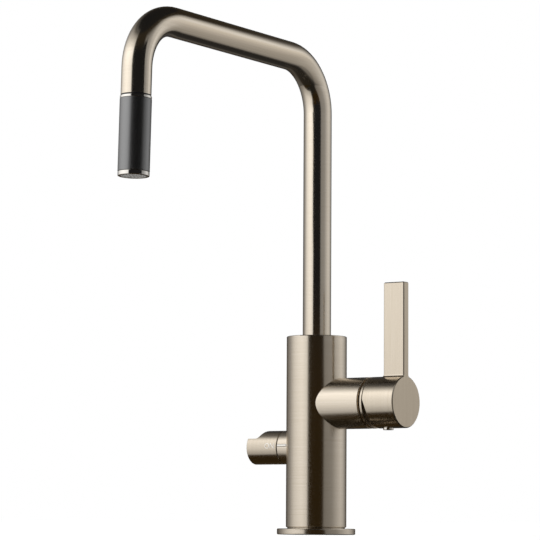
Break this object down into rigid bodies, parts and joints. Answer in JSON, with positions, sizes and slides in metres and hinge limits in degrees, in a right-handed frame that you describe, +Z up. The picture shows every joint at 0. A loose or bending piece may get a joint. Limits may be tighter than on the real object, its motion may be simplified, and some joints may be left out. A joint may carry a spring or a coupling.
{
  "type": "pull-out kitchen faucet",
  "caption": "Single-hole kitchen mixer with a tall angled round spout, pull-out head with rubber grip, side lever and dishwasher shut-off knob, in brushed nickel.",
  "frame": {"origin": "centre of the deck plate's underside, on the worktop", "axes": "+Z up along the body, -Y along the spout, +X along the lever's side, -X along the dishwasher valve"},
  "size_m": [0.1527, 0.2961, 0.4159],
  "materials": {
    "brushed_nickel": "brushed nickel plating, warm",
    "polished_nickel": "polished nickel plating",
    "grip_rubber": "matt black rubber",
    "seal_rubber": "black sealing rubber",
    "black_plastic": "moulded black plastic",
    "white_plastic": "moulded natural plastic",
    "grey_plastic": "moulded grey plastic",
    "brass": "turned brass",
    "steel": "turned stainless steel",
    "ceramic": "ground ceramic",
    "hose_braid": "grey nylon braid"
  },
  "bodies": {
    "mixer_body": {"deck_plate": "brushed_nickel", "deck_seal": "seal_rubber", "body_shell": "brushed_nickel", "waterway_core": "brass", "hose_guide": "black_plastic", "thrust_washer": "white_plastic", "lower_glide_ring": "white_plastic", "upper_glide_ring": "white_plastic", "retaining_screw": "steel", "cartridge_base": "black_plastic", "cartridge_seals": "seal_rubber", "fixed_disc": "ceramic", "cartridge_housing": "black_plastic", "cartridge_nut": "brass", "cover_ring": "brushed_nickel", "valve_seat_seal": "seal_rubber", "valve_fixed_disc": "ceramic", "valve_headwork": "brass", "spindle_o_ring": "seal_rubber"},
    "spout": {"spout_foot": "brass", "spout_tube": "brushed_nickel", "docking_bush": "black_plastic", "pullout_hose": "hose_braid", "tail_ferrule": "steel"},
    "pull_head": {"head_ferrule": "steel", "hose_nut": "brass", "nut_washer": "seal_rubber", "head_core": "brass", "head_collar": "polished_nickel", "grip_sleeve": "grip_rubber", "nozzle_ring": "polished_nickel", "aerator": "grey_plastic", "aerator_gasket": "seal_rubber", "check_valve": "white_plastic"},
    "temperature_carrier": {"lever_carrier": "white_plastic", "stem_pin": "steel"},
    "mixing_slide": {"mixing_disc": "ceramic", "disc_driver": "black_plastic"},
    "lever": {"lever_stem": "steel", "lever_handle": "brushed_nickel", "handle_screw": "steel", "screw_cap": "polished_nickel"},
    "dishwasher_valve": {"valve_moving_disc": "ceramic", "valve_spindle": "brass", "valve_knob": "brushed_nickel", "knob_screw": "steel"}
  },
  "joints": [
    {"name": "spout_swivel", "type": "hinge", "parent": "mixer_body", "child": "spout", "pos_m": [0, 0, 0.15], "axis": [0, 0, 1], "range_deg": [-75, 75]},
    {"name": "pull_out", "type": "slide", "parent": "spout", "child": "pull_head", "axis": [0, -0.0314, -0.9995], "range_m": [0, 0.2], "deforming": ["pullout_hose"]},
    {"name": "temperature_turn", "type": "hinge", "parent": "mixer_body", "child": "temperature_carrier", "pos_m": [0.0389, 0, 0.1097], "axis": [1, 0, 0], "range_deg": [-50, 50]},
    {"name": "flow_tilt", "type": "hinge", "parent": "temperature_carrier", "child": "lever", "pos_m": [0.0389, 0, 0.1097], "axis": [0, 1, 0], "range_deg": [0, 18]},
    {"name": "mixing_disc_slide", "type": "slide", "parent": "temperature_carrier", "child": "mixing_slide", "axis": [0, 0, 1], "range_m": [0, 0.0028]},
    {"name": "dishwasher_turn", "type": "hinge", "parent": "mixer_body", "child": "dishwasher_valve", "pos_m": [-0.045, 0, 0.0735], "axis": [-1, 0, 0], "range_deg": [0, 90]}
  ],
  "couplings": [
    {"joint": "mixing_disc_slide", "follows": "flow_tilt", "m_per_rad": 0.00865}
  ]
}
